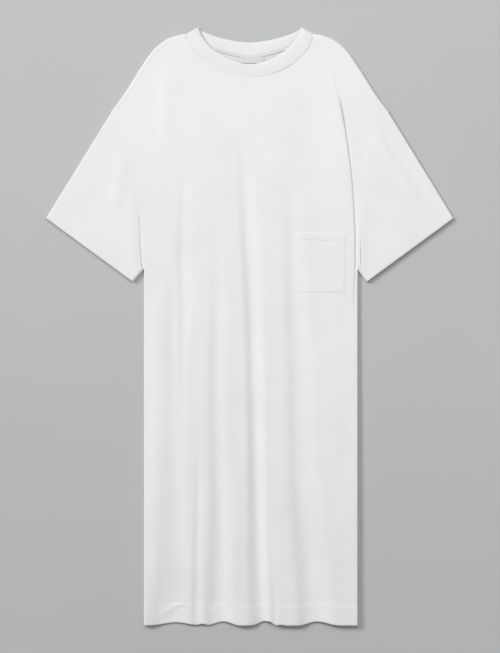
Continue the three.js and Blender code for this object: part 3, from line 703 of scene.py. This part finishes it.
# Thread: each stitch is a small round-ended bar that follows the seam. Its rings' place along it and
# width
STITCH_RINGS = [(-0.5, 0.0), (-0.42, 0.75), (-0.2, 1.0), (0.2, 1.0), (0.42, 0.75), (0.5, 0.0)]
STITCH_SIDES = 6
STITCH_SINK = 0.1


def stitches(line, pitch=3.0, length=2.5, radius=0.3):
    line = np.asarray(line, float)
    lengths = lengths_along(line)
    places = np.arange(pitch / 2, lengths[-1], pitch)
    start, end = (points_at(line, lengths, places + half) for half in (-length / 2, length / 2))
    middle, axis = (start + end) / 2, unit(end - start)
    beside = unit(np.cross(axis, (0, 0, 1)))
    above = np.cross(beside, axis)
    points, faces = [], []
    for ring, (place, width) in enumerate(STITCH_RINGS):
        drop = STITCH_SINK + 0.5 * radius * (2 * place) ** 2
        for k in range(STITCH_SIDES):
            angle = 2 * math.pi * k / STITCH_SIDES
            points.append(middle + axis * place * length + beside * math.cos(angle) * width * radius
                          + above * (math.sin(angle) * max(width, 0.05) * radius - drop))
            if ring:
                a = (ring - 1) * STITCH_SIDES + k
                b = (ring - 1) * STITCH_SIDES + (k + 1) % STITCH_SIDES
                faces.append((a, b, b + STITCH_SIDES, a + STITCH_SIDES))
    per_stitch = len(STITCH_RINGS) * STITCH_SIDES
    points = np.stack(points, axis=1).reshape(-1, 3)
    offsets = (np.arange(len(places)) * per_stitch)[:, None, None]
    return points, (np.array(faces)[None] + offsets).reshape(-1, 4)


def on_front(path):
    x, y = path[:, 0], path[:, 1]
    return np.column_stack([x + overhang(x, y), y + hem_shift(x, y), front_top(x, y)])


LINE_POINTS = 400


def hem_threads():
    x = np.linspace(body_side(-1) + 2, body_side(1) - 2, LINE_POINTS)
    return [stitches(on_front(np.column_stack([x, np.full(LINE_POINTS, HEM_Y + d)]))) for d in HEM_STITCHES]


def sleeve_fold_share(d):
    """Where along the cuff a line at distance d from it meets the sleeve's folded edge."""
    fold, under = mirrored([CUFF_FOLD, CUFF_UNDER], 1)
    cuff, edge = under - fold, np.array(DROP) - fold
    sine = abs(cuff[0] * edge[1] - cuff[1] * edge[0]) / np.linalg.norm(cuff) / np.linalg.norm(edge)
    cosine = np.dot(cuff, edge) / np.linalg.norm(cuff) / np.linalg.norm(edge)
    return (d * cosine / sine + 2) / np.linalg.norm(cuff)


def cuff_threads(side):
    """The rows of stitching on a sleeve's hem, kept off the armhole and the folds."""
    rows = []
    fold, under = mirrored([CUFF_FOLD, CUFF_UNDER], side)
    arm = armhole_path(side)
    inward = np.array([side * (under[1] - fold[1]), -side * (under[0] - fold[0])])
    inward = inward / np.linalg.norm(inward) * (-1 if inward[1] < 0 else 1)
    for d in HEM_STITCHES:
        t = np.linspace(-0.1, 1.15, LINE_POINTS)
        line = fold + (under - fold) * t[:, None] + inward * d
        x, y = line.T
        edge = np.interp(y, arm[:, 1], arm[:, 0])
        keep = (side * (x - edge) > 3) & (distance_to_fold(x, y) > 1.5)
        keep &= np.abs(cuff_distance(side, x, y) - d) < 0.1
        line = line[keep & (t > sleeve_fold_share(d))]
        rows.append(stitches(np.column_stack([line, sleeve_top(side, line[:, 0], line[:, 1])])))
    return rows


def neck_threads():
    path = neck_path("front_seam", LINE_POINTS, 3.2)[6:-6]
    return [stitches(on_front(path), pitch=2.8, length=2.3, radius=0.26)]


def pocket_threads():
    low, high = np.array(POCKET["bottom"], float), np.array(POCKET["top"], float)
    inset, up, slant = POCKET["stitches_in"], POCKET["hem"] - 1, POCKET["hem_slant"] / 2
    round_edge = along([high[0] + (inset, -1), low[0] + (inset, inset),
                        low[1] + (-inset, inset), high[1] + (-inset, -1)], 300)
    hem_line = along([high[0] + (inset + 1, slant - up), high[1] + (-inset - 1, -slant - up)], 90)
    rows = []
    for path, lift in ((round_edge, 0.34), (hem_line, 0.15)):
        line = np.column_stack([path, outer(path[:, 0], path[:, 1]) + lift])
        rows.append(stitches(line, pitch=2.8, length=2.3, radius=0.26))
    return rows


def label_threads():
    rows = []
    count, half, inset = 40, LABEL["half"] - 1, 1.2
    for y in (LABEL["high"] - inset, LABEL["low"] + inset):
        x = LABEL["middle"] + np.linspace(-half, half, count)
        line = np.column_stack([x, np.full(count, y), np.full(count, LABEL["height"] + 0.1)])
        rows.append(stitches(line, pitch=2.4, length=2.0, radius=0.2))
    return rows


def overlock_threads():
    near, far = (neck_path("back_seam", 330, grow)[16:-16] for grow in (0.8, 5.0))
    zigzag = np.where((np.arange(len(near)) % 2 == 0)[:, None], near, far)
    line = np.column_stack([zigzag, np.full(len(zigzag), 2.45)])
    return [stitches(line, pitch=4.6, length=4.2, radius=0.24)]


# Materials
def grey(level, blue=0.0):
    """A neutral colour, with its blue lowered a little where the cloth is warm."""
    return level, level, level - blue


def socket(node, name, value):
    node.inputs[name].default_value = value


class Nodes:
    """A material's node tree, built up step by step."""

    def __init__(self, name):
        self.material = bpy.data.materials.new(name)
        self.material.use_nodes = True
        self.tree = self.material.node_tree
        self.shader = self.tree.nodes["Principled BSDF"]
        self.coordinates = self.tree.nodes.new("ShaderNodeTexCoord")

    def add(self, kind, values=(), **settings):
        node = self.tree.nodes.new(kind)
        for key, value in settings.items():
            setattr(node, key, value)
        for key, value in dict(values).items():
            socket(node, key, value)
        return node

    def link(self, source, output, target, entry):
        self.tree.links.new(source.outputs[output], target.inputs[entry])

    def two_colours(self, texture, first, second, places=(0.0, 1.0)):
        """Colours that a texture blends between."""
        ramp = self.add("ShaderNodeValToRGB")
        for element, place, colour in zip(ramp.color_ramp.elements, places, (first, second)):
            element.position = place
            element.color = (*colour, 1)
        self.link(texture, "Fac", ramp, "Fac")
        return ramp

    def relief(self, source, output, strength, depth_mm, below=None):
        """Low relief from a texture, on top of the relief below."""
        bump_node = self.add("ShaderNodeBump", {"Strength": strength, "Distance": depth_mm * MM})
        self.link(source, output, bump_node, "Height")
        if below is not None:
            self.link(below, "Normal", bump_node, "Normal")
        return bump_node


def knit_wave(n, period_mm, distortion, direction, place):
    """Bands of the knit, one to a period."""
    scale = 2 * math.pi / (20 * period_mm * MM)
    wave = n.add("ShaderNodeTexWave", {"Scale": scale, "Distortion": distortion, "Detail": 1.0,
                                       "Detail Scale": 40.0}, bands_direction=direction)
    n.link(n.coordinates, place, wave, "Vector")
    return wave


def cloth(name, light, dark, wale_mm, course_mm, use_uv=False, relief_mm=0.12, crumple_mm=0.3, sheen=0.25):
    """Knitted cotton: wales and courses, fuzz, and a soft crumple, all from nodes."""
    n = Nodes(name)
    place = "UV" if use_uv else "Object"
    wales = knit_wave(n, wale_mm, 0.4, "X", place)
    courses = knit_wave(n, course_mm, 0.6, "Y", place)
    knit = n.add("ShaderNodeMath", {1: 0.35}, operation="MULTIPLY")
    n.link(courses, "Fac", knit, 0)
    both = n.add("ShaderNodeMath", operation="ADD")
    n.link(wales, "Fac", both, 0)
    n.link(knit, "Value", both, 1)
    fuzz = n.add("ShaderNodeTexNoise", {"Scale": 1400.0, "Detail": 2.0, "Roughness": 0.6})
    crumple = n.add("ShaderNodeTexNoise", {"Scale": 34.0, "Detail": 3.0, "Roughness": 0.45})
    tint = n.add("ShaderNodeTexNoise", {"Scale": 9.0, "Detail": 4.0, "Roughness": 0.55})
    for texture in (fuzz, crumple, tint):
        n.link(n.coordinates, "Object", texture, "Vector")
    colours = n.two_colours(tint, dark, light, (0.3, 0.7))
    shade = n.add("ShaderNodeMix", {"Factor": 0.06}, data_type="RGBA", blend_type="MULTIPLY")
    n.link(colours, "Color", shade, 6)
    n.link(both, "Value", shade, 7)
    n.link(shade, 2, n.shader, "Base Color")
    rough = n.add("ShaderNodeMapRange", {"To Min": 0.86, "To Max": 0.97})
    n.link(fuzz, "Fac", rough, "Value")
    n.link(rough, "Result", n.shader, "Roughness")
    fine = n.relief(both, "Value", 0.6, relief_mm)
    fibres = n.relief(fuzz, "Fac", 0.35, 0.08, below=fine)
    soft = n.relief(crumple, "Fac", 0.8, crumple_mm, below=fibres)
    n.link(soft, "Normal", n.shader, "Normal")
    socket(n.shader, "Sheen Weight", sheen)
    socket(n.shader, "Sheen Roughness", 0.6)
    socket(n.shader, "Specular IOR Level", 0.25)
    return n.material


def thread_material():
    n = Nodes("white_thread")
    twist = n.add("ShaderNodeTexNoise", {"Scale": 2500.0, "Detail": 2.0})
    n.link(n.coordinates, "Object", twist, "Vector")
    n.link(n.two_colours(twist, grey(0.72, 0.005), grey(0.86, 0.005)), "Color", n.shader, "Base Color")
    n.link(n.relief(twist, "Fac", 0.5, 0.1), "Normal", n.shader, "Normal")
    socket(n.shader, "Roughness", 0.55)
    socket(n.shader, "Sheen Weight", 0.15)
    return n.material


def floor_material():
    n = Nodes("pale_floor")
    grain = n.add("ShaderNodeTexNoise", {"Scale": 3.0, "Detail": 3.0})
    n.link(n.coordinates, "Object", grain, "Vector")
    n.link(n.two_colours(grain, (0.47, 0.475, 0.48), (0.50, 0.505, 0.51)), "Color", n.shader, "Base Color")
    socket(n.shader, "Roughness", 0.9)
    return n.material


def finish_piece(obj, material, slot_name, *nodes):
    obj.data.materials.append(material)
    if nodes:
        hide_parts(*nodes)
    return obj


jersey = cloth("white_jersey", grey(0.83, 0.005), grey(0.80, 0.003), 1.15, 0.9)
# A darker copy of the white jersey for the back's inside, seen through the neck opening: painted shade,
# where the neckband and the front shade it
jersey_painted_shade = cloth("white_jersey_painted_shade", grey(0.71, 0.003), grey(0.68, 0.003), 1.15, 0.6)
rib = cloth("white_rib", grey(0.86, 0.005), grey(0.83, 0.003), 2.0, 0.9, use_uv=True, relief_mm=0.5)
tape = cloth("white_tape", grey(0.69), grey(0.65), 0.5, 0.5, relief_mm=0.06, crumple_mm=0.1, sheen=0.1)
thread = thread_material()

# The pieces as they are cut and sewn
SIDE_NAMES = ((1, "left"), (-1, "right"))
front = finish_piece(make("front_panel", [shell(front_points())]), jersey, "jersey_front", "front_body")
back = finish_piece(make("back_panel", [back_plate(), shoulder_strip(1), shoulder_strip(-1)]),
                    jersey, "jersey_back", "back_body")
# The back's upper face, low under the front and seen through the neck opening, takes the darker jersey:
# painted shade
back.data.materials.append(jersey_painted_shade)
for face in back.data.polygons:
    face.material_index = int(face.normal.z > 0.9 and face.center.z < 2 * MM)
for side, name in SIDE_NAMES:
    tube = make(f"{name}_sleeve", [sleeve(side)])
    finish_piece(tube, jersey, "jersey_sleeves", f"sleeve_{name}")
band_parts, band_uvs = neckband()
band = finish_piece(make("rib_neckband", band_parts, band_uvs), rib, "rib", "neckband")
patch = finish_piece(make("patch_pocket", [pocket()]), jersey, "jersey_pocket", "chest_pocket")
tag = finish_piece(make("plain_label", [label()]), tape, "label", "neck_label")
# The seam inside the back neck takes the darker jersey too: painted shade
seam = finish_piece(make("neck_seam_inside", [seam_ridge()]), jersey_painted_shade, "jersey_back")

hem_thread = finish_piece(make("hem_stitches", hem_threads()), thread, "jersey_front")
finish_piece(make("neck_stitches", neck_threads()), thread, "jersey_front")
for side, name in SIDE_NAMES:
    rows = make(f"{name}_cuff_stitches", cuff_threads(side))
    finish_piece(rows, thread, "jersey_sleeves")
pocket_thread = finish_piece(make("pocket_stitches", pocket_threads()), thread, "jersey_pocket")
label_thread = finish_piece(make("label_stitches", label_threads()), thread, "label")
overlock = finish_piece(make("overlock_stitches", overlock_threads()), thread, "jersey_back")

# Surface, light and camera, in metres
FLOOR_HALF = 4
floor_mesh = bpy.data.meshes.new("floor")
floor_mesh.from_pydata([(-FLOOR_HALF, -FLOOR_HALF, 0), (FLOOR_HALF, -FLOOR_HALF, 0),
                        (FLOOR_HALF, FLOOR_HALF, 0), (-FLOOR_HALF, FLOOR_HALF, 0)], [], [(0, 1, 2, 3)])
floor = bpy.data.objects.new("floor", floor_mesh)
bpy.context.scene.collection.objects.link(floor)
floor_mesh.materials.append(floor_material())


def area_light(name, place, target, size, power):
    data = bpy.data.lights.new(name, "AREA")
    data.shape = "DISK"
    data.size = size
    data.energy = power
    lamp = bpy.data.objects.new(name, data)
    lamp.location = place
    lamp.rotation_euler = (Vector(target) - Vector(place)).to_track_quat("-Z", "Y").to_euler()
    bpy.context.scene.collection.objects.link(lamp)


area_light("key", (-6.6, 4.6, 5.6), (0, 0.1, 0), 3.2, 634)
area_light("fill", (2.9, -0.4, 2.6), (0.1, -0.1, 0), 2.2, 18)
area_light("overhead", (0.1, 1.6, 2.6), (0.1, 0.5, 0), 1.8, 30)

scene = bpy.context.scene
world = bpy.data.worlds.new("soft_room")
world.use_nodes = True
sky = world.node_tree.nodes["Background"]
socket(sky, "Color", (1, 1, 1, 1))
socket(sky, "Strength", 0.3)
scene.world = world

CAMERA_HEIGHT = 3.0
MEAN_CLOTH_HEIGHT = 0.006
PIXEL = 1.906 * MM  # what a pixel of the photograph covers, on the dress
PHOTO_HEIGHT = 653 * PIXEL
SENSOR = 36.0
camera = bpy.data.cameras.new("camera")
camera.sensor_fit = "AUTO"
camera.sensor_width = SENSOR
camera.lens = SENSOR * (CAMERA_HEIGHT - MEAN_CLOTH_HEIGHT) / PHOTO_HEIGHT
viewer = bpy.data.objects.new("camera", camera)
viewer.location = (0.0002, -0.00095, CAMERA_HEIGHT)
scene.collection.objects.link(viewer)
scene.camera = viewer
scene.view_settings.view_transform = "Standard"
